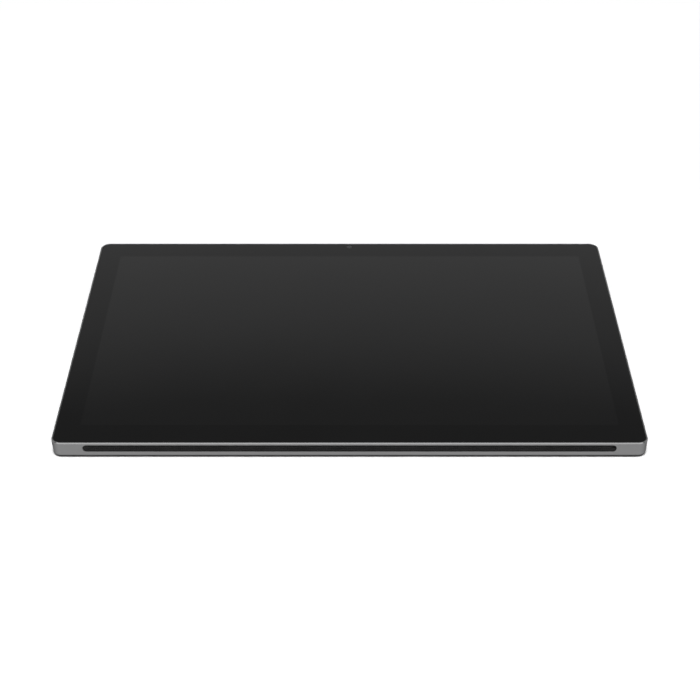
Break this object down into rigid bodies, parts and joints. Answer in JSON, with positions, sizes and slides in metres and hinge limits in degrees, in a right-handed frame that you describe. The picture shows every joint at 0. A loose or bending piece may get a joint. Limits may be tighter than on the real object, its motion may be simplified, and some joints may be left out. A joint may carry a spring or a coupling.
{
  "type": "tablet computer",
  "caption": "Thin slate tablet in a one-piece aluminium tray with an edge-to-edge black glass front, a dark grille slot in the near edge, sprung side keys and a sliding card tray.",
  "frame": {"origin": "middle of the flat back face, which the tablet lies on", "axes": "+X along the long side to the right of someone facing the grille edge, +Y towards the edge with the front camera and the keys, +Z out of the screen"},
  "size_m": [0.285, 0.2051, 0.0083],
  "materials": {
    "anodised_aluminium": "fine bead-blasted and anodised, satin",
    "black_glass": "polished, black-backed",
    "black_foam": "soft matte foam tape",
    "clear_plastic": "clear, polished",
    "white_film": "white diffusing film",
    "panel_dark": "dark polarising film",
    "stainless_steel": "stamped, satin",
    "copper_sheet": "rolled copper, satin",
    "gold_plate": "gold-plated, satin",
    "black_plastic": "fine matte moulding",
    "grille_mesh": "black perforated strip",
    "circuit_board": "solder mask, satin",
    "pouch_foil": "aluminium laminated foil, dull satin",
    "amber_film": "amber polyimide film",
    "lens_glass": "polished, coated"
  },
  "bodies": {
    "tablet": {"rear_housing": "anodised_aluminium", "cover_glass": "black_glass", "glass_adhesive": "black_foam", "optical_adhesive": "clear_plastic", "lcd_panel": "panel_dark", "optical_films": "white_film", "light_guide_plate": "clear_plastic", "led_strip": "gold_plate", "reflector_sheet": "white_film", "backlight_tray": "stainless_steel", "front_camera_module": "black_plastic", "ambient_light_sensor": "lens_glass", "microphone_left": "gold_plate", "microphone_right": "gold_plate", "antenna_left": "amber_film", "antenna_right": "amber_film", "grille_strip": "grille_mesh", "speaker_left": "black_plastic", "speaker_right": "black_plastic", "battery_cell_left": "pouch_foil", "battery_cell_center": "pouch_foil", "battery_cell_right": "pouch_foil", "battery_board": "circuit_board", "main_board": "circuit_board", "processor_shield": "stainless_steel", "memory_shield": "stainless_steel", "power_shield": "stainless_steel", "wireless_module": "stainless_steel", "storage_module": "black_plastic", "heat_spreader": "copper_sheet", "board_screw_1": "stainless_steel", "board_screw_2": "stainless_steel", "board_screw_3": "stainless_steel", "board_screw_4": "stainless_steel", "board_screw_5": "stainless_steel", "board_screw_6": "stainless_steel", "usb_c_shell_front": "stainless_steel", "usb_c_tongue_front": "black_plastic", "usb_c_shell_rear": "stainless_steel", "usb_c_tongue_rear": "black_plastic", "port_board": "circuit_board", "port_board_screw_1": "stainless_steel", "port_board_screw_2": "stainless_steel", "card_socket": "stainless_steel", "power_switch": "black_plastic", "volume_up_switch": "black_plastic", "volume_down_switch": "black_plastic", "button_bracket": "stainless_steel", "rear_camera_ring": "anodised_aluminium", "rear_camera_window": "lens_glass", "rear_camera_module": "black_plastic", "display_flex": "amber_film", "battery_flex": "amber_film", "speaker_ribbon_left": "amber_film", "speaker_ribbon_right": "amber_film", "port_board_flex": "amber_film"},
    "power_key": {"power_button": "anodised_aluminium"},
    "volume_key": {"volume_rocker": "anodised_aluminium"},
    "card_carrier": {"card_tray": "anodised_aluminium"}
  },
  "joints": [
    {"name": "power_press", "type": "slide", "parent": "tablet", "child": "power_key", "axis": [0, -1, 0], "range_m": [0, 0.00025], "stiffness_N_per_m": 8000},
    {"name": "volume_rock", "type": "hinge", "parent": "tablet", "child": "volume_key", "pos_m": [-0.084, 0.0994, 0.0043], "axis": [0, 0, 1], "range_deg": [-0.9, 0.9], "stiffness_Nm_per_rad": 1.2},
    {"name": "card_tray_slide", "type": "slide", "parent": "tablet", "child": "card_carrier", "axis": [-1, 0, 0], "range_m": [0, 0.024]}
  ]
}
